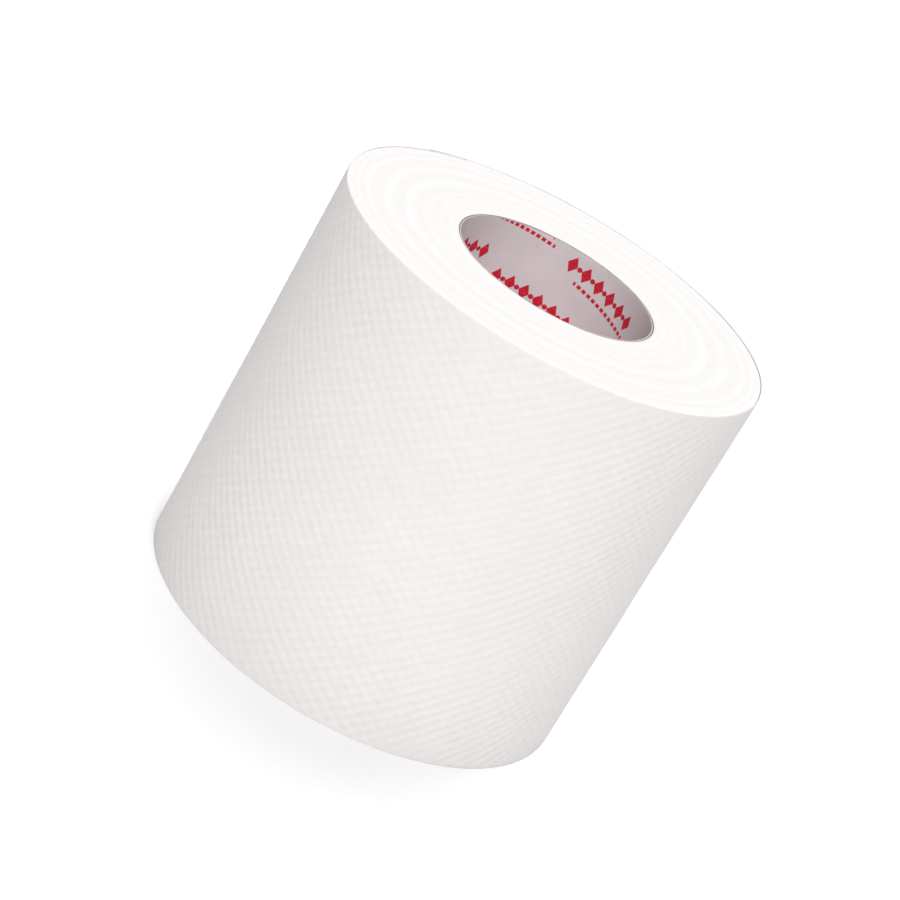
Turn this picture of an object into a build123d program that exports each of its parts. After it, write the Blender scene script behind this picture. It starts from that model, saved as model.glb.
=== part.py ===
from build123d import *
from math import cos, radians, sin
import os

# Toilet paper roll standing on its end.
# Millimetres. +Z is the roll's axis, the origin is the centre of the face that it stands on.
# The free end of the paper (the tail) lies at the back, towards -X and +Y.

# ---- driving dimensions -------------------------------------------------------------
roll_width = 98.0          # width of the paper web, the height of the standing roll
roll_diameter = 104.0      # mean outer diameter of the winding
sheet_thickness = 0.30     # one embossed sheet of several plies: the winding's pitch per turn
core_inner_diameter = 47.6  # clear bore of the card tube
card_thickness = 0.5       # wall of the card tube
tail_angle = 141.0         # where the free end of the paper lies, degrees from +X
rim_softness = 0.45        # the saw leaves the outer rim of the paper very slightly eased

# ---- derived ------------------------------------------------------------------------
core_inner_radius = core_inner_diameter / 2
core_outer_radius = core_inner_radius + card_thickness
step = sheet_thickness / 4                      # growth of the radius in each quarter turn
start_radius = roll_diameter / 2 - sheet_thickness / 2
rim_radius = start_radius - 0.05                # where the eased rim meets the sawn ends


def direction(angle):
    return (cos(radians(angle)), sin(radians(angle)))


# The outer turn is a spiral: four quarter arcs, each a quarter of a sheet larger than the
# last, about centres that walk round a small square. Each arc meets the next tangentially,
# and after a full turn the paper stands one sheet proud of where it began: the tail.
quarter_angles = [tail_angle + 90 * i for i in range(5)]
quarter_radii = [start_radius + step * i for i in range(4)]
centres = [(0.0, 0.0)]
for i in range(1, 4):
    u = direction(quarter_angles[i])
    centres.append((centres[-1][0] - step * u[0], centres[-1][1] - step * u[1]))


def reach(axis, heading):
    """How far the outline goes along X (axis 0) or Y (axis 1), seen towards heading."""
    i = int(((heading - tail_angle) % 360) // 90)
    return centres[i][axis] + quarter_radii[i] * direction(heading)[axis]


# the whole outline is centred on the roll's axis
middle = [(reach(0, 0) + reach(0, 180)) / 2, (reach(1, 90) + reach(1, 270)) / 2]
centres = [(x - middle[0], y - middle[1]) for x, y in centres]


def on_quarter(i, angle):
    u = direction(angle)
    return (centres[i][0] + quarter_radii[i] * u[0], centres[i][1] + quarter_radii[i] * u[1])


# ---- paper: all the turns of the winding are one body --------------------------------
with BuildPart() as paper_roll:
    with BuildSketch(Plane.XY):
        with BuildLine():
            for i in range(4):
                first, last = quarter_angles[i], quarter_angles[i + 1]
                ThreePointArc(
                    on_quarter(i, first),
                    on_quarter(i, (first + last) / 2),
                    on_quarter(i, last),
                )
            # the cut edge of the last sheet, straight in towards the axis
            Line(on_quarter(3, quarter_angles[4]), on_quarter(0, quarter_angles[0]))
        make_face()
        Circle(core_outer_radius, mode=Mode.SUBTRACT)
    extrude(amount=roll_width)
    # both sawn ends: the outer rim of the winding is eased, by trimming it to a turned
    # profile with bevelled corners
    with BuildSketch(Plane.XZ):
        with BuildLine():
            Polyline(
                (0, 0),
                (rim_radius, 0),
                (rim_radius + rim_softness, rim_softness),
                (rim_radius + rim_softness, roll_width - rim_softness),
                (rim_radius, roll_width),
                (0, roll_width),
                close=True,
            )
        make_face()
    revolve(axis=Axis.Z, mode=Mode.INTERSECT)
paper_roll.part.label = "paper_roll"

# ---- core: a plain card tube, sawn to the same length as the paper -------------------
with BuildPart() as core_tube:
    with BuildSketch(Plane.XY):
        Circle(core_outer_radius)
        Circle(core_inner_radius, mode=Mode.SUBTRACT)
    extrude(amount=roll_width)
core_tube.part.label = "core_tube"

os.makedirs("parts", exist_ok=True)
export_step(paper_roll.part, "parts/paper_roll.step")
export_step(core_tube.part, "parts/core_tube.step")

for piece in (paper_roll.part, core_tube.part):
    box = piece.bounding_box()
    print(
        piece.label,
        "volume %.0f mm3" % piece.volume,
        "valid", piece.is_valid,
        "box", tuple(round(v, 3) for v in (box.min.X, box.min.Y, box.min.Z)),
        tuple(round(v, 3) for v in (box.max.X, box.max.Y, box.max.Z)),
    )
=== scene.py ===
import math

import bpy
import numpy as np
from mathutils import Matrix, Vector


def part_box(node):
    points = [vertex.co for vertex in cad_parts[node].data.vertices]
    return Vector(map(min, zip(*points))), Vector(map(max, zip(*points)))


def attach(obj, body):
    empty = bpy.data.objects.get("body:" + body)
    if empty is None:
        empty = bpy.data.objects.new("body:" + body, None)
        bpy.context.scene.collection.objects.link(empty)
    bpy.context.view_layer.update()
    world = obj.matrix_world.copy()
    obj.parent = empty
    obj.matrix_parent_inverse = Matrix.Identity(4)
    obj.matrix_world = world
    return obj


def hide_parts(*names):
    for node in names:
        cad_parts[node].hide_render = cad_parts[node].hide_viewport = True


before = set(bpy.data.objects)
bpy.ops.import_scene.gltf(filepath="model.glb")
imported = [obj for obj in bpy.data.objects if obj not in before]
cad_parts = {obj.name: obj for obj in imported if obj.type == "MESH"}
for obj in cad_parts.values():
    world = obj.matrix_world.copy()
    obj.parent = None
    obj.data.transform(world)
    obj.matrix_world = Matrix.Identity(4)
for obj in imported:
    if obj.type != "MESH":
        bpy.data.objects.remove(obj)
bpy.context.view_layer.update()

# ---------------------------------------------------------------------------------------
# Sizes, in metres, repeated from the construction
# ---------------------------------------------------------------------------------------
MM = 0.001
paper_lo, paper_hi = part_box("paper_roll")
core_lo, core_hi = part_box("core_tube")
HEIGHT = paper_hi[2] - paper_lo[2]
Z0 = paper_lo[2]
SHEET = 0.30 * MM                       # pitch of the winding, one sheet
START_R = 52.0 * MM - SHEET / 2         # radius just under the tail
CORE_OUT = 24.3 * MM
CORE_IN = 23.8 * MM
TAIL = math.radians(141.0)              # where the free end lies
LEN = 140.0 * MM                        # from one perforation to the next
SKIN = 0.27 * MM                        # thickness of the drawn outer sheet

STEP = SHEET / 4


def _outline_centres():
    c = [(0.0, 0.0)]
    for i in range(1, 4):
        a = TAIL + i * math.pi / 2
        c.append((c[-1][0] - STEP * math.cos(a), c[-1][1] - STEP * math.sin(a)))

    def reach(axis, heading):
        i = int(((math.degrees(heading - TAIL)) % 360) // 90)
        return c[i][axis] + (START_R + STEP * i) * (math.cos, math.sin)[axis](heading)

    mx = (reach(0, 0.0) + reach(0, math.pi)) / 2
    my = (reach(1, math.pi / 2) + reach(1, 1.5 * math.pi)) / 2
    return np.array([(x - mx, y - my) for x, y in c])


CENTRES = _outline_centres()


def outline(phi):
    """Point and outward direction of the winding's outline, phi radians on from the tail.

    Below 0 it runs on under the tail."""
    q = np.clip(np.floor(phi / (math.pi / 2) + 1e-9), 0, 3).astype(int)
    a = TAIL + phi
    u = np.stack([np.cos(a), np.sin(a)], -1)
    under = np.minimum(phi, 0.0) / (2 * math.pi) * SHEET
    r = START_R + STEP * q + under
    return CENTRES[q] + r[..., None] * u, u


# ---------------------------------------------------------------------------------------
# Seeded smooth noise on a plane, for slow unevenness of the paper
# ---------------------------------------------------------------------------------------
def _hash(ix, iy, seed):
    h = (ix * 374761393 + iy * 668265263 + seed * 2147483647) & 0xFFFFFFFF
    h = ((h ^ (h >> 13)) * 1274126177) & 0xFFFFFFFF
    return ((h ^ (h >> 16)) & 0xFFFFFF) / float(0xFFFFFF) * 2 - 1


def noise(x, y, seed=0):
    x, y = np.broadcast_arrays(np.asarray(x, float), np.asarray(y, float))
    ix, iy = np.floor(x).astype(np.int64), np.floor(y).astype(np.int64)
    fx, fy = x - ix, y - iy
    sx, sy = fx * fx * fx * (fx * (fx * 6 - 15) + 10), fy * fy * fy * (fy * (fy * 6 - 15) + 10)
    a, b = _hash(ix, iy, seed), _hash(ix + 1, iy, seed)
    c, d = _hash(ix, iy + 1, seed), _hash(ix + 1, iy + 1, seed)
    return (a * (1 - sx) + b * sx) * (1 - sy) + (c * (1 - sx) + d * sx) * sy


def smoothstep(a, b, x):
    t = np.clip((x - a) / (b - a), 0, 1)
    return t * t * (3 - 2 * t)


# ---------------------------------------------------------------------------------------
# Meshes from welded grids
# ---------------------------------------------------------------------------------------
def build(name, patches, materials, attributes=()):
    """One closed mesh from grids of points. Each patch is a dict: p (n, m, 3) points, uv (u0, v0, u1, v1), flip, slot, smooth, and one (n, m) array for each attribute."""
    points, faces, uvs, slots, smooth = [], [], [], [], []
    values = {a: [] for a in attributes}
    base = 0
    for d in patches:
        p = d["p"]
        n, m = p.shape[:2]
        points.append(p.reshape(-1, 3))
        for a in attributes:
            v = d.get(a)
            values[a].append(np.zeros(n * m) if v is None else np.asarray(v, float).reshape(-1))
        i = np.arange(n * m).reshape(n, m) + base
        q = np.stack([i[:-1, :-1], i[1:, :-1], i[1:, 1:], i[:-1, 1:]], -1).reshape(-1, 4)
        u0, v0, u1, v1 = d["uv"]
        uu, vv = np.meshgrid(np.linspace(u0, u1, n), np.linspace(v0, v1, m), indexing="ij")
        uv = np.stack([uu, vv], -1).reshape(-1, 2)[q - base]
        if d.get("flip"):
            q, uv = q[:, ::-1], uv[:, ::-1]
        faces.append(q)
        uvs.append(uv)
        slots.append(np.full(len(q), d.get("slot", 0)))
        smooth.append(np.full(len(q), d.get("smooth", True)))
        base += n * m
    points = np.concatenate(points)
    faces = np.concatenate(faces)
    uvs = np.concatenate(uvs)
    slots = np.concatenate(slots)
    smooth = np.concatenate(smooth)
    key = np.round(points / 2e-8).astype(np.int64)
    _, first, back = np.unique(key, axis=0, return_index=True, return_inverse=True)
    back = back.reshape(-1)
    faces = back[faces]
    verts = points[first]
    # a corner that falls on the next one is left out, which makes the quad a triangle
    keep = faces != np.roll(faces, -1, axis=1)
    sides = keep.sum(axis=1)
    good = sides >= 3
    faces, uvs, slots, smooth, keep, sides = (v[good] for v in (faces, uvs, slots, smooth, keep, sides))
    corners, uvs = faces[keep], uvs[keep]
    starts = np.concatenate([[0], np.cumsum(sides)[:-1]])
    me = bpy.data.meshes.new(name)
    me.vertices.add(len(verts))
    me.vertices.foreach_set("co", verts.astype(np.float32).ravel())
    me.loops.add(len(corners))
    me.loops.foreach_set("vertex_index", corners.astype(np.int32))
    me.polygons.add(len(faces))
    me.polygons.foreach_set("loop_start", starts.astype(np.int32))
    me.polygons.foreach_set("loop_total", sides.astype(np.int32))
    me.polygons.foreach_set("material_index", slots.astype(np.int32))
    me.update(calc_edges=True)
    me.polygons.foreach_set("use_smooth", smooth.astype(bool))
    layer = me.uv_layers.new(name="OFBake")
    layer.data.foreach_set("uv", uvs.astype(np.float32).ravel())
    for a in attributes:
        at = me.attributes.new(a, "FLOAT", "POINT")
        at.data.foreach_set("value", np.concatenate(values[a])[first].astype(np.float32))
    me.validate(clean_customdata=False)
    me.set_sharp_from_angle(angle=math.radians(52))
    ob = bpy.data.objects.new(name, me)
    bpy.context.scene.collection.objects.link(ob)
    for m in materials:
        me.materials.append(m)
    return ob


# ---------------------------------------------------------------------------------------
# Node helpers
# ---------------------------------------------------------------------------------------
class Tree:
    def __init__(self, name):
        self.mat = bpy.data.materials.new(name)
        self.mat.use_nodes = True
        self.nt = self.mat.node_tree
        self.nt.nodes.clear()
        self.out = self.nt.nodes.new("ShaderNodeOutputMaterial")

    def node(self, kind, **props):
        n = self.nt.nodes.new(kind)
        for k, v in props.items():
            setattr(n, k, v)
        return n

    def put(self, socket, value):
        if isinstance(value, bpy.types.NodeSocket):
            self.nt.links.new(value, socket)
        else:
            socket.default_value = value

    def math(self, op, a, b=None, c=None, clamp=False):
        n = self.node("ShaderNodeMath", operation=op, use_clamp=clamp)
        for i, v in enumerate((a, b, c)):
            if v is not None:
                self.put(n.inputs[i], v)
        return n.outputs[0]

    def mix(self, fac, a, b):
        n = self.node("ShaderNodeMix", data_type="RGBA")
        self.put(n.inputs["Factor"], fac)
        self.put(n.inputs[6], a)
        self.put(n.inputs[7], b)
        return n.outputs[2]

    def noise(self, vector, scale, detail=2.0, rough=0.5, dims="3D", w=None):
        n = self.node("ShaderNodeTexNoise", noise_dimensions=dims)
        if vector is not None:
            self.put(n.inputs["Vector"], vector)
        if w is not None:
            self.put(n.inputs["W"], w)
        n.inputs["Scale"].default_value = scale
        n.inputs["Detail"].default_value = detail
        n.inputs["Roughness"].default_value = rough
        return n.outputs[0]

    def span(self, value, a, b, c, d, clamp=True, smooth=False):
        n = self.node("ShaderNodeMapRange", clamp=clamp)
        if smooth:
            n.interpolation_type = "SMOOTHSTEP"
        self.put(n.inputs[0], value)
        for i, v in enumerate((a, b, c, d)):
            n.inputs[i + 1].default_value = v
        return n.outputs[0]

    def vec(self, op, a, b=None, scale=None):
        n = self.node("ShaderNodeVectorMath", operation=op)
        self.put(n.inputs[0], a)
        if b is not None:
            self.put(n.inputs[1], b)
        if scale is not None:
            self.put(n.inputs["Scale"], scale)
        return n.outputs[0]

    def bump(self, height, distance, strength=1.0, normal=None):
        n = self.node("ShaderNodeBump")
        n.inputs["Distance"].default_value = distance
        n.inputs["Strength"].default_value = strength
        self.put(n.inputs["Height"], height)
        if normal is not None:
            self.put(n.inputs["Normal"], normal)
        return n.outputs[0]

    def object_coordinates(self):
        return self.node("ShaderNodeTexCoord").outputs["Object"]

    def shader(self, **sockets):
        p = self.node("ShaderNodeBsdfPrincipled")
        for k, v in sockets.items():
            self.put(p.inputs[k.replace("_", " ")], v)
        self.nt.links.new(p.outputs[0], self.out.inputs["Surface"])
        return p


def polar(t, xyz):
    """Radius, angle in turns and height sockets about the roll's axis, from a position."""
    s = t.node("ShaderNodeSeparateXYZ")
    t.put(s.inputs[0], xyz)
    x, y, z = s.outputs
    r = t.math("SQRT", t.math("ADD", t.math("MULTIPLY", x, x), t.math("MULTIPLY", y, y)))
    a = t.math("DIVIDE", t.math("ARCTAN2", y, x), 2 * math.pi)
    return r, a, z


# ---------------------------------------------------------------------------------------
# Materials
# ---------------------------------------------------------------------------------------
def paper_material(name="tissue_embossed"):
    """Outer sheet: near-white tissue, matt, with fibres, faint cloudiness and painted shade that darkens the bottoms of
    the embossed dimples.
    """
    t = Tree(name)
    obj = t.object_coordinates()
    emboss = t.node("ShaderNodeAttribute", attribute_name="emboss", attribute_type="GEOMETRY").outputs["Fac"]
    # cloudy formation of the web, a few millimetres across
    cloud = t.noise(obj, 260.0, 3.0, 0.55)
    slow = t.noise(obj, 38.0, 2.0, 0.5)
    tint = t.mix(t.span(slow, 0.35, 0.65, 0.0, 1.0), (0.828, 0.800, 0.794, 1), (0.845, 0.821, 0.814, 1))
    tint = t.mix(t.span(cloud, 0.38, 0.62, 0.0, 0.55), tint, (0.808, 0.781, 0.776, 1))
    # painted shade: the colour darkens with the emboss depth, most at the dimple bottoms, so the relief reads stronger
    tint = t.mix(t.math("MULTIPLY", emboss, 0.46), tint, (0.752, 0.728, 0.722, 1))
    # fibres: fine noise stretched along two crossing directions
    stretch = t.vec("MULTIPLY", obj, (1.0, 1.0, 0.28))
    fibre_a = t.noise(stretch, 5200.0, 3.0, 0.62)
    stretch_b = t.vec("MULTIPLY", obj, (0.5, 0.5, 1.0))
    fibre_b = t.noise(stretch_b, 3900.0, 2.0, 0.6)
    fibre = t.math("ADD", t.math("MULTIPLY", fibre_a, 0.6), t.math("MULTIPLY", fibre_b, 0.4))
    tint = t.mix(t.span(fibre, 0.36, 0.64, 0.18, 0.0), tint, (0.70, 0.68, 0.675, 1))
    # the crepe: tiny ridges along the roll's axis, a few to the millimetre
    crepe = t.noise(t.vec("MULTIPLY", obj, (1.0, 1.0, 0.16)), 1500.0, 2.0, 0.5)
    normal = t.bump(crepe, 0.00012, 0.35)
    normal = t.bump(fibre, 0.00005, 0.45, normal)
    rough = t.span(cloud, 0.3, 0.7, 0.86, 0.96)
    t.shader(
        Base_Color=tint,
        Roughness=rough,
        Normal=normal,
        Specular_IOR_Level=0.10,
    )
    return t.mat


def end_material(name="tissue_sawn_end"):
    """Sawn end of the winding: the edges of the turns as a fine spiral, some a little open with painted shade in the
    gaps, and faint curved saw marks.
    """
    t = Tree(name)
    obj = t.object_coordinates()
    r, a, z = polar(t, obj)
    turn = t.math("SUBTRACT", t.math("DIVIDE", r, SHEET), a)      # counts turns, continuous along the spiral
    wobble = t.noise(obj, 90.0, 2.0, 0.5)
    turn = t.math("ADD", turn, t.math("MULTIPLY", wobble, 0.8))
    line = t.math("ABSOLUTE", t.math("SUBTRACT", t.math("FRACT", turn), 0.5))   # 0 mid-sheet .. 0.5 between sheets
    edge = t.span(line, 0.30, 0.5, 0.0, 1.0, smooth=True)
    # how open each turn is: changes slowly along the spiral
    open_ = t.noise(None, 1.0, 3.0, 0.7, dims="1D", w=t.math("MULTIPLY", turn, 0.62))
    open_ = t.span(open_, 0.42, 0.72, 0.12, 1.0)
    gap = t.math("MULTIPLY", edge, open_)
    # broader bands where the winding tension changed
    band = t.noise(None, 1.0, 2.0, 0.6, dims="1D", w=t.math("MULTIPLY", turn, 0.11))
    fuzz = t.noise(obj, 3600.0, 3.0, 0.65)
    mottle = t.noise(obj, 420.0, 3.0, 0.6)
    # saw marks: wide arcs crossing the face
    s = t.node("ShaderNodeSeparateXYZ")
    t.put(s.inputs[0], obj)
    ax = t.math("ADD", s.outputs[0], 0.21)
    ay = t.math("ADD", s.outputs[1], 0.13)
    ar = t.math("SQRT", t.math("ADD", t.math("MULTIPLY", ax, ax), t.math("MULTIPLY", ay, ay)))
    saw = t.noise(None, 1.0, 3.0, 0.6, dims="1D", w=t.math("MULTIPLY", ar, 900.0))
    base = t.mix(t.span(band, 0.35, 0.65, 0.0, 1.0), (0.768, 0.753, 0.748, 1), (0.802, 0.788, 0.783, 1))
    base = t.mix(t.span(mottle, 0.4, 0.65, 0.0, 0.35), base, (0.742, 0.727, 0.722, 1))
    # painted shade: the open gaps between the turns are darkened as if in shadow
    base = t.mix(t.math("MULTIPLY", gap, 0.42), base, (0.55, 0.53, 0.525, 1))
    # painted shade: a dark ring on the first turn round the core, standing in for the shadowed gap between the paper
    # and the card
    base = t.mix(t.span(r, CORE_OUT + 0.08 * MM, CORE_OUT + 0.24 * MM, 0.85, 0.0), base, (0.150, 0.100, 0.098, 1))
    height = t.math("SUBTRACT", 1.0, gap)
    normal = t.bump(height, 0.00006, 0.35)
    normal = t.bump(saw, 0.00008, 0.18, normal)
    normal = t.bump(fuzz, 0.00006, 0.45, normal)
    t.shader(
        Base_Color=base,
        Roughness=t.span(mottle, 0.3, 0.7, 0.88, 0.97),
        Normal=normal,
        Specular_IOR_Level=0.10,
    )
    return t.mat


def card_edge_material(name="card_cut_edge"):
    """Cut edge of the card: pale in the middle and brown-grey at both faces, with its plies as fine rings and torn fibres."""
    t = Tree(name)
    obj = t.object_coordinates()
    r, a, z = polar(t, obj)
    ply = t.noise(None, 1.0, 2.0, 0.6, dims="1D", w=t.math("MULTIPLY", r, 9000.0))
    fleck = t.noise(obj, 2600.0, 4.0, 0.7)
    middle = t.math("ABSOLUTE", t.math("SUBTRACT", r, (CORE_IN + CORE_OUT) / 2))
    heart = t.span(middle, 0.10 * MM, 0.19 * MM, 1.0, 0.0)
    base = t.mix(t.span(ply, 0.35, 0.65, 0.0, 1.0), (0.110, 0.070, 0.068, 1), (0.170, 0.120, 0.115, 1))
    base = t.mix(heart, base, (0.560, 0.505, 0.500, 1))
    base = t.mix(t.span(fleck, 0.52, 0.72, 0.0, 0.6), base, (0.40, 0.35, 0.345, 1))
    normal = t.bump(fleck, 0.00012, 0.5)
    t.shader(
        Base_Color=base,
        Roughness=t.span(fleck, 0.3, 0.7, 0.85, 0.95),
        Normal=normal,
        Specular_IOR_Level=0.2,
    )
    return t.mat


LEAD = 54.0 * MM          # the liner strip climbs this much in one turn of the tube
INNER_LEN = 2 * math.pi * CORE_IN


# The printed repeat: a mark every so far round and up the tube. Three steps of ONE and four of
# TWO come to exactly one turn at the same height, so the pattern meets itself.
ONE = (0.0983 * INNER_LEN, -10.4 * MM)
TWO = ((1 - 3 * 0.0983) / 4 * INNER_LEN, 7.8 * MM)
FIRST = (57.0 / 360.0 * INNER_LEN, 92.7 * MM)
BASELINE = math.radians(7.8)


def liner_material(name="card_liner"):
    """Inner ply of the tube: smooth pale pinkish-grey card with a spiral butt joint, printed with a generic red border in short lengths: a row of lozenges and dots over a dashed rule."""
    t = Tree(name)
    obj = t.object_coordinates()
    r, a, z = polar(t, obj)
    flecks = t.noise(obj, 900.0, 4.0, 0.65)
    cloud = t.noise(obj, 120.0, 3.0, 0.55)
    fibre = t.noise(t.vec("MULTIPLY", obj, (1.0, 1.0, 0.35)), 3000.0, 3.0, 0.6)
    base = t.mix(t.span(cloud, 0.35, 0.65, 0.0, 1.0), (0.755, 0.695, 0.715, 1), (0.795, 0.740, 0.758, 1))
    base = t.mix(t.span(flecks, 0.56, 0.72, 0.0, 0.35), base, (0.66, 0.60, 0.62, 1))

    def inside(value, limit, soft=0.00006):
        return t.span(t.math("ABSOLUTE", value), limit - soft, limit + soft, 1.0, 0.0)

    def plus(a_, b_):
        return t.math("ADD", a_, b_)

    def times(a_, b_):
        return t.math("MULTIPLY", a_, b_)

    # place on the developed tube, from the first mark
    ds = t.math("SUBTRACT", times(a, INNER_LEN), FIRST[0])
    dz = t.math("SUBTRACT", t.math("SUBTRACT", z, Z0), FIRST[1])
    area_ = ONE[0] * TWO[1] - ONE[1] * TWO[0]
    p = t.math("ROUND", t.math("DIVIDE", t.math("SUBTRACT", times(ds, TWO[1]), times(dz, TWO[0])), area_))
    q = t.math("ROUND", t.math("DIVIDE", t.math("SUBTRACT", times(dz, ONE[0]), times(ds, ONE[1])), area_))
    ds = t.math("SUBTRACT", ds, plus(times(p, ONE[0]), times(q, TWO[0])))
    dz = t.math("SUBTRACT", dz, plus(times(p, ONE[1]), times(q, TWO[1])))
    u = plus(times(ds, math.cos(BASELINE)), times(dz, math.sin(BASELINE)))
    v = t.math("SUBTRACT", times(dz, math.cos(BASELINE)), times(ds, math.sin(BASELINE)))

    def comb(value, period):
        """Distance from the nearest whole period."""
        return t.math("SUBTRACT", value, times(t.math("ROUND", t.math("DIVIDE", value, period)), period))

    pitch = 0.0040
    w = comb(u, pitch)
    lozenge = t.span(plus(t.math("DIVIDE", t.math("ABSOLUTE", w), 0.00140), t.math("DIVIDE", t.math("ABSOLUTE", v), 0.00215)), 0.96, 1.04, 1.0, 0.0)
    lozenge = times(lozenge, inside(t.math("SUBTRACT", u, pitch / 2), 3.0 * pitch))
    w = comb(plus(u, pitch / 2), pitch)
    dot = t.span(t.math("SQRT", plus(times(w, w), times(v, v))), 0.00058, 0.00068, 1.0, 0.0)
    dot = times(dot, inside(t.math("SUBTRACT", u, pitch / 2), 2.5 * pitch))
    v2 = plus(v, 0.00335)
    dash = times(times(inside(comb(u, 0.00155), 0.00052), inside(v2, 0.00046)), inside(u, 0.0094))
    ink = t.math("MAXIMUM", t.math("MAXIMUM", lozenge, dot), dash)
    # the ink doesn't cover evenly
    cover = t.span(t.noise(obj, 2300.0, 3.0, 0.6), 0.28, 0.44, 0.80, 1.0)
    ink = times(ink, cover)
    red = t.mix(t.span(cloud, 0.3, 0.7, 0.0, 1.0), (0.640, 0.005, 0.026, 1), (0.720, 0.009, 0.036, 1))
    base = t.mix(ink, base, red)
    # the butt joint between neighbouring turns of the strip
    seam = t.node("ShaderNodeAttribute", attribute_name="seam", attribute_type="GEOMETRY").outputs["Fac"]
    base = t.mix(times(seam, 0.75), base, (0.42, 0.36, 0.35, 1))
    normal = t.bump(fibre, 0.00004, 0.3)
    normal = t.bump(flecks, 0.00005, 0.2, normal)
    t.shader(
        Base_Color=base,
        Roughness=t.span(flecks, 0.3, 0.7, 0.62, 0.78),
        Normal=normal,
        Specular_IOR_Level=0.35,
    )
    return t.mat


paper = paper_material()
sawn = end_material()
card_edge = card_edge_material()
liner = liner_material()

# ---------------------------------------------------------------------------------------
# The embossed outer turn, sheet by sheet
# ---------------------------------------------------------------------------------------
PX = 3.755 * MM           # repeat of the dot pattern round the roll
PZ = 2.96 * MM            # and along it
DEPTH = 0.145 * MM


def emboss(s, z, turn_angle):
    """Two crossing waves, 0 at the top of the bumps and 1 at the bottom of the dimples where both are even.

    s runs round the sheet, in metres. The rollers pressed the two directions unevenly: which of
    them is the stronger changes slowly round the roll."""
    wx = 0.35 * MM * noise(s / 0.019, z / 0.023, 11) + 0.16 * MM * noise(s / 0.006, z / 0.007, 12)
    wz = 0.30 * MM * noise(s / 0.021, z / 0.017, 13) + 0.14 * MM * noise(s / 0.006, z / 0.007, 14)
    x, y = (s + wx) / PX, (z + wz) / PZ
    u, v = 2 * math.pi * (x + y), 2 * math.pi * (x - y)
    rising = 1.25 + 0.50 * np.cos(turn_angle + math.radians(45))
    falling = 1.00 + 0.50 * np.cos(turn_angle + math.radians(120))
    f = 0.5 + (rising * np.cos(u) + falling * np.cos(v)) / 4
    depth = 0.88 + 0.20 * noise(s / 0.011, z / 0.012, 15) + 0.10 * noise(s / 0.003, z / 0.003, 16)
    return 0.35 + (f - 0.35) * depth


def unevenness(phi, z):
    """Slow waviness of the whole outer turn, in metres, the same for sheets that lie on each other."""
    a = (TAIL + phi) / (2 * math.pi)
    w = a * 2 * math.pi
    slow = (
        0.6 * noise(3.0 + np.cos(w) * 2.2 + z / 0.05, 3.0 + np.sin(w) * 2.2 - z / 0.08, 21)
        + 0.4 * noise(8.0 + np.cos(w) * 5.5 - z / 0.03, 8.0 + np.sin(w) * 5.5 + z / 0.04, 22)
    )
    return 0.11 * MM * slow


TURN_R = 52.0 * MM


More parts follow.
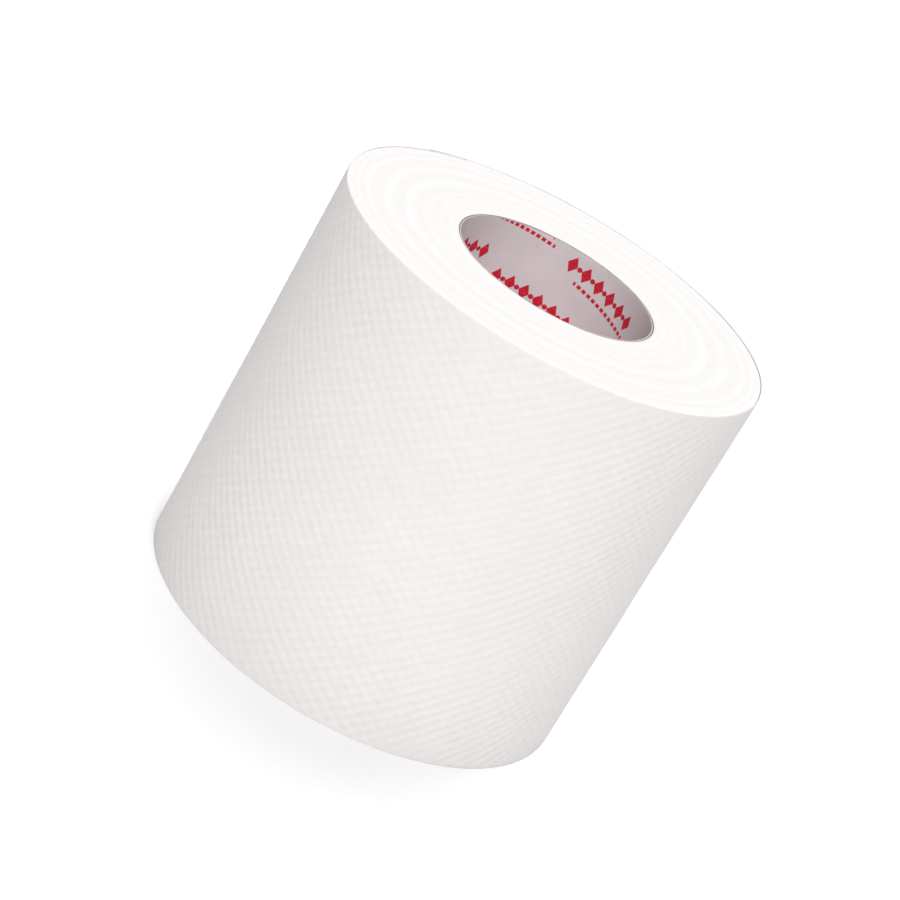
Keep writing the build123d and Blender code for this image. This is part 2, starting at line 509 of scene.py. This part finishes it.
def sheet_piece(name, phi_a, phi_b, tail=False, hidden_start=False):
    """One sheet between two perforations, as a thin closed skin. phi_b is its end nearer the tail's edge."""
    cols = max(8, int(round((phi_b - phi_a) * TURN_R / (PX / 8))))
    rows = int(round(HEIGHT / (PZ / 8)))
    phi = np.linspace(phi_a, phi_b, cols + 1)
    # extra rows right at the sawn ends, so that the rim is rounded and not a knife edge
    z = np.concatenate([[0.0, 0.09 * MM], np.linspace(0.27 * MM, HEIGHT - 0.27 * MM, rows), [HEIGHT - 0.09 * MM, HEIGHT]])
    P, Zz = np.meshgrid(phi, z, indexing="ij")
    # torn or perforated ends are a little ragged along the roll
    from_tail = (2 * math.pi - P) * TURN_R            # metres from the free end
    if tail:
        nib = 0.16 * MM * noise(Zz / 0.0011, 0.0, 31) + 0.10 * MM * noise(Zz / 0.00037, 5.0, 32)
        nib += 0.28 * MM * smoothstep(0.42, 0.47, np.abs((Zz / 0.0052) % 1.0 - 0.5)) - 0.14 * MM
        P = P + (nib - 0.25 * MM) / TURN_R * smoothstep(1.2 * MM, 0.0, from_tail)
    s = -P * TURN_R
    e = emboss(s, Zz, TAIL + P)
    near = np.minimum(Zz, HEIGHT - Zz)
    # the pattern flattens towards the sawn ends and the perforations, and under the tail
    fade = 0.35 + 0.65 * smoothstep(0.1 * MM, 1.3 * MM, near)
    for line in (phi_a, phi_b):
        fade = fade * (0.35 + 0.65 * smoothstep(0.3 * MM, 1.6 * MM, np.abs(P - line) * TURN_R))
    if hidden_start:
        fade = fade * smoothstep(-4 * MM, -0.5 * MM, P * TURN_R)
    d = -DEPTH * (e - 0.35) * fade + unevenness(P, Zz)
    if hidden_start:
        d = d - 0.07 * MM
    # perforation: a fine line of cuts, with small uncut bridges between them
    for line, on in ((phi_a, not hidden_start), (phi_b, not tail)):
        if on:
            dist = np.abs(P - line) * TURN_R
            bridge = smoothstep(0.36, 0.46, np.abs((Zz / 0.0048 + 0.3) % 1.0 - 0.5))
            d -= (0.12 - 0.09 * bridge) * MM * (1 - smoothstep(0.0, 0.55 * MM, dist))
            d -= 0.02 * MM * (1 - smoothstep(0.0, 2.4 * MM, dist))
    lift = np.zeros_like(P)
    if tail:
        # the free end is held by a stripe of glue, and past it lies a little loose
        t = 1 - smoothstep(0.0, 13 * MM, from_tail)
        corner = smoothstep(0.030, 0.0, Zz) * 0.9 + smoothstep(HEIGHT - 0.022, HEIGHT, Zz) * 0.22
        wave = 0.5 + 0.5 * noise(Zz / 0.017, 2.0, 41) + 0.25 * noise(Zz / 0.006, 7.0, 42)
        lift = t ** 1.6 * (0.22 * MM * wave + 0.75 * MM * corner)
        # the glue stripe pulls the sheet slightly down
        lift -= 0.03 * MM * np.exp(-(((from_tail - 17 * MM) / (4 * MM)) ** 2))
        d = d + lift
    # rounded rims at the sawn ends
    d -= 0.10 * MM * (1 - smoothstep(0.0, 0.30 * MM, near))
    di = unevenness(P, Zz) + np.maximum(lift, 0.0) - SKIN
    if hidden_start:
        di = di - 0.03 * MM
    d = np.maximum(d, di + 0.04 * MM)
    xy, u = outline(P)
    outer = np.empty(P.shape + (3,))
    outer[..., :2] = xy + u * d[..., None]
    outer[..., 2] = Z0 + Zz
    # the inside of the skin follows the slow shape only
    inner = np.empty_like(outer)
    inner[..., :2] = xy + u * di[..., None]
    inner[..., 2] = Z0 + Zz
    # it needs fewer rows than the embossed face: each of its rows serves the nearest rows outside
    every = 10 if tail else 30
    rows_in = np.unique(np.concatenate([np.arange(0, len(z) - 1, every), [len(z) - 1]]))
    nearest = rows_in[np.abs(np.arange(len(z))[:, None] - rows_in[None, :]).argmin(axis=1)]
    patches = [
        dict(p=outer, uv=(0.01, 0.03, 0.93, 0.99), emboss=np.clip(0.35 + (e - 0.35) * fade, 0, 1), flip=False),
        dict(p=np.stack([outer[:, -1], inner[:, -1]], 1), uv=(0.01, 0.015, 0.93, 0.022), flip=False, slot=1),
        dict(p=np.stack([inner[:, 0], outer[:, 0]], 1), uv=(0.01, 0.003, 0.93, 0.010), flip=False, slot=1),
        dict(p=np.stack([inner[0, nearest], outer[0]], 0), uv=(0.94, 0.03, 0.955, 0.99), flip=False, slot=1),
        dict(p=np.stack([outer[-1], inner[-1, nearest]], 0), uv=(0.96, 0.03, 0.975, 0.99), flip=False, slot=1),
        dict(p=inner[:, rows_in], uv=(0.98, 0.03, 0.995, 0.99), flip=True),
    ]
    return build(name, patches, [paper, sawn], ("emboss",))


PER = LEN / TURN_R
FULL = 2 * math.pi
sheet_1 = sheet_piece("outer_sheet_1", FULL - PER, FULL, tail=True)
sheet_2 = sheet_piece("outer_sheet_2", FULL - 2 * PER, FULL - PER)
sheet_3 = sheet_piece("outer_sheet_3", math.radians(-12), FULL - 2 * PER, hidden_start=True)

# ---------------------------------------------------------------------------------------
# The turns underneath, with their sawn ends
# ---------------------------------------------------------------------------------------
def wound_turns_closed():
    n = 520
    hidden = math.radians(-12)
    phi = np.linspace(hidden, hidden + 2 * math.pi, n + 1)
    xy, u = outline(phi)
    off = -(SKIN + 0.035 * MM) + unevenness(phi, np.zeros_like(phi))
    # over the last two degrees the wall comes in by one sheet, under the outer sheets
    blend = smoothstep(phi[-1] - math.radians(2.0), phi[-1], phi)
    radius_first = np.linalg.norm(xy[0] + u[0] * off[0])
    wall = xy + u * off[:, None]
    wr = np.linalg.norm(wall, axis=-1)
    wr = wr * (1 - blend) + radius_first * blend
    ang = TAIL + phi
    ray = np.stack([np.cos(ang), np.sin(ang)], -1)
    wdir = wall / np.linalg.norm(wall, axis=-1, keepdims=True)
    wall = wdir * wr[:, None]
    wall[-1] = wall[0]
    inner = CORE_OUT * ray
    inner[-1] = inner[0]
    k = np.linspace(0, 1, 61)
    edge = np.array([0.0, 0.004, 0.011, 0.022])
    k = np.unique(np.concatenate([k[2:-2], edge, 1 - edge]))
    P = inner[:, None, :] * (1 - k)[None, :, None] + wall[:, None, :] * k[None, :, None]
    R = np.linalg.norm(P, axis=-1)
    A = np.broadcast_to((phi - hidden)[:, None], R.shape) / (2 * math.pi)

    def rings(turn, seed):
        return noise(turn / 6.5, 0.5, seed) * 0.5 + noise(turn / 3.1, 9.5, seed + 1) * 0.35

    def relief(seed):
        base = R / SHEET
        # along the spiral, one turn on is one sheet further out, so the two ends of the range agree
        low = rings(base - A, seed) * (1 - A) + rings(base - A + 1, seed) * A
        x, y = P[..., 0], P[..., 1]
        face = noise(x / 0.016 + 9, y / 0.016 + 9, seed + 2) * 0.5 + noise(x / 0.007 + 3, y / 0.007 + 3, seed + 3) * 0.22
        h = 0.055 * MM * low + 0.075 * MM * face
        out = (1 - k)[None, :] * (TURN_R - CORE_OUT)
        inn = k[None, :] * (TURN_R - CORE_OUT)
        h = h - 0.16 * MM * (1 - smoothstep(0.0, 0.5 * MM, out)) - 0.05 * MM * (1 - smoothstep(0.0, 1.6 * MM, out))
        h = h - 0.20 * MM * (1 - smoothstep(0.0, 0.45 * MM, inn))
        return h

    top, bottom = relief(60), relief(80)
    top -= top.max()
    bottom -= bottom.max()
    top[-1], bottom[-1] = top[0], bottom[0]
    T = np.concatenate([P, (Z0 + HEIGHT + top)[..., None]], -1)
    B = np.concatenate([P, (Z0 - bottom)[..., None]], -1)
    T[-1], B[-1] = T[0], B[0]
    return [
        dict(p=T, uv=(0.01, 0.02, 0.99, 0.47), flip=True),
        dict(p=B, uv=(0.01, 0.50, 0.99, 0.95), flip=False),
        dict(p=np.stack([T[:, -1], B[:, -1]], 1), uv=(0.01, 0.955, 0.99, 0.965), flip=True),
        dict(p=np.stack([B[:, 0], T[:, 0]], 1), uv=(0.01, 0.97, 0.99, 0.98), flip=True),
    ]


turns = build("wound_turns", wound_turns_closed(), [sawn])

# ---------------------------------------------------------------------------------------
# The card core
# ---------------------------------------------------------------------------------------
def card_core():
    slope_per_m = 2 * math.pi / LEAD
    # columns round the tube, in turns, close together at the liner's butt joint
    fine = np.array([0.0, 0.10, 0.17, 0.24, 0.34, 0.55]) * MM / INNER_LEN
    wide = np.linspace(0.012, 1 - 0.012, 200)
    c = np.concatenate([fine, wide, 1 - fine[::-1]])
    z = np.concatenate([np.array([0.0, 0.45, 0.6, 0.8]) * MM, np.linspace(1.2 * MM, HEIGHT - 1.2 * MM, 120), HEIGHT - np.array([0.8, 0.6, 0.45, 0.0]) * MM])
    C, Zz = np.meshgrid(c, z, indexing="ij")
    ang = 2 * math.pi * C + Zz * slope_per_m
    from_seam = np.minimum(C, 1 - C) * INNER_LEN
    seam = 1 - smoothstep(0.15 * MM, 0.26 * MM, from_seam)
    w = 2 * math.pi * C
    wav = 0.035 * MM * noise(5 + 2.0 * np.cos(ang) + Zz / 0.04, 5 + 2.0 * np.sin(ang), 91)
    near = np.minimum(Zz, HEIGHT - Zz)
    burr = 0.05 * MM * (1 - smoothstep(0.3 * MM, 0.8 * MM, near))
    r_in = CORE_IN + wav + seam * 0.13 * MM + burr * (0.6 + 0.4 * noise(ang * 14, Zz * 0, 92))
    r_in = np.maximum(r_in, CORE_IN - 0.02 * MM)
    r_out = np.full_like(r_in, CORE_OUT - 0.03 * MM)
    r_out[:, 0] -= 0.02 * MM
    r_out[:, -1] -= 0.02 * MM
    # the saw leaves the cut a little uneven
    cut = 0.05 * MM * noise(ang * 9, np.zeros_like(ang), 93) + 0.04 * MM * noise(ang * 40, np.zeros_like(ang), 94)
    zi = Zz.copy()
    zi[:, 0] += 0.26 * MM + cut[:, 0]
    zi[:, -1] -= 0.26 * MM + cut[:, -1]
    zo = Zz.copy()
    zo[:, 0] += 0.28 * MM + cut[:, 0]
    zo[:, -1] -= 0.28 * MM + cut[:, -1]
    zi[-1], zo[-1] = zi[0], zo[0]
    r_in[-1], r_out[-1] = r_in[0], r_out[0]
    ang_c = ang.copy()
    ang_c[-1] = ang[0]
    IN = np.stack([r_in * np.cos(ang_c), r_in * np.sin(ang_c), Z0 + zi], -1)
    OUT = np.stack([r_out * np.cos(ang_c), r_out * np.sin(ang_c), Z0 + zo], -1)

    def ring(j):
        # the cut edge, a few stations wide, slightly furred
        k = np.array([0.0, 0.3, 0.6, 1.0])
        p = IN[:, j, None, :] * (1 - k)[None, :, None] + OUT[:, j, None, :] * k[None, :, None]
        sign = 1 if j else -1
        fur = 0.03 * MM * (1 + noise(ang_c[:, j, None] * 60, k[None, :] * 7, 95))
        p[:, 1:-1, 2] += sign * fur[:, 1:-1] * 1.0
        p[-1] = p[0]
        return p

    seam_at = seam.copy()
    seam_at[-1] = seam_at[0]
    return [
        dict(p=IN, uv=(0.01, 0.02, 0.99, 0.62), flip=True, seam=seam_at),
        dict(p=OUT, uv=(0.01, 0.65, 0.99, 0.90), flip=False, slot=1),
        dict(p=ring(0), uv=(0.01, 0.91, 0.99, 0.94), flip=False, slot=1),
        dict(p=ring(-1), uv=(0.01, 0.95, 0.99, 0.98), flip=True, slot=1),
    ]


core = build("card_core", card_core(), [liner, card_edge], ("seam",))

for piece in (sheet_1, sheet_2, sheet_3, turns, core):
    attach(piece, "root")
for piece in (sheet_1, sheet_2, sheet_3, turns):
    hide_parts("paper_roll")
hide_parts("core_tube")

# ---------------------------------------------------------------------------------------
# Stage: a plain white floor
# ---------------------------------------------------------------------------------------
def floor():
    me = bpy.data.meshes.new("floor")
    s = 6.0
    me.from_pydata([(-s, -s, -0.00002), (s, -s, -0.00002), (s, s, -0.00002), (-s, s, -0.00002)], [], [(0, 1, 2, 3)])
    ob = bpy.data.objects.new("floor", me)
    bpy.context.scene.collection.objects.link(ob)
    t = Tree("floor_white")
    obj = t.object_coordinates()
    n = t.noise(obj, 30.0, 2.0, 0.5)
    base = t.mix(t.span(n, 0.3, 0.7, 0.0, 1.0), (0.895, 0.895, 0.895, 1), (0.905, 0.905, 0.905, 1))
    t.shader(Base_Color=base, Roughness=0.9, Specular_IOR_Level=0.1)
    me.materials.append(t.mat)
    return ob


floor()

# ---------------------------------------------------------------------------------------
# Light: broad and soft. A high front light, a low fill from the front right, and two lights
# from above and behind that lay the short soft shadow in front of the roll, and a low one for its back.
# ---------------------------------------------------------------------------------------
world = bpy.data.worlds.new("studio")
bpy.context.scene.world = world
world.use_nodes = True
bg = world.node_tree.nodes["Background"]
bg.inputs[0].default_value = (1.0, 1.0, 1.0, 1.0)
bg.inputs[1].default_value = 0.10


def softbox(name, azimuth, elevation, width, level, colour=(1, 1, 1)):
    """A very distant light, width degrees across, that comes from the given direction."""
    d = bpy.data.lights.new(name, "SUN")
    d.angle = math.radians(width)
    d.energy = math.pi * level
    d.color = colour
    o = bpy.data.objects.new(name, d)
    a, e = math.radians(azimuth), math.radians(elevation)
    o.rotation_mode = "QUATERNION"
    o.rotation_quaternion = Vector((math.cos(a) * math.cos(e), math.sin(a) * math.cos(e), math.sin(e))).to_track_quat("Z", "Y")
    bpy.context.scene.collection.objects.link(o)
    return o


softbox("front_high", -87, 52, 40, 0.735)
softbox("front_right_low", -62, 14, 45, 0.085)
softbox("behind_top", 98, 74, 34, 0.350)
softbox("behind_high", 90, 65, 45, 0.155)
softbox("behind_low", 68, 28, 40, 0.24)

# ---------------------------------------------------------------------------------------
# Camera: rolled, so that the roll's axis leans to the right, as in the reference view
# ---------------------------------------------------------------------------------------
cam_data = bpy.data.cameras.new("camera")
cam_data.sensor_width = 36.0
cam_data.lens = 112.0
cam_data.clip_start, cam_data.clip_end = 0.01, 50.0
cam = bpy.data.objects.new("camera", cam_data)
bpy.context.scene.collection.objects.link(cam)
right, up, back = Vector((0.86393, 0.19404, 0.46472)), Vector((-0.50361, 0.33287, 0.79723)), Vector((0.0, -0.92279, 0.3853))
m = Matrix((
    (right[0], up[0], back[0], -0.00118),
    (right[1], up[1], back[1], -0.58626),
    (right[2], up[2], back[2], 0.29403),
    (0, 0, 0, 1),
))
cam.matrix_world = m
bpy.context.scene.camera = cam

bpy.context.scene.view_settings.view_transform = "Standard"
bpy.context.scene.view_settings.look = "None"
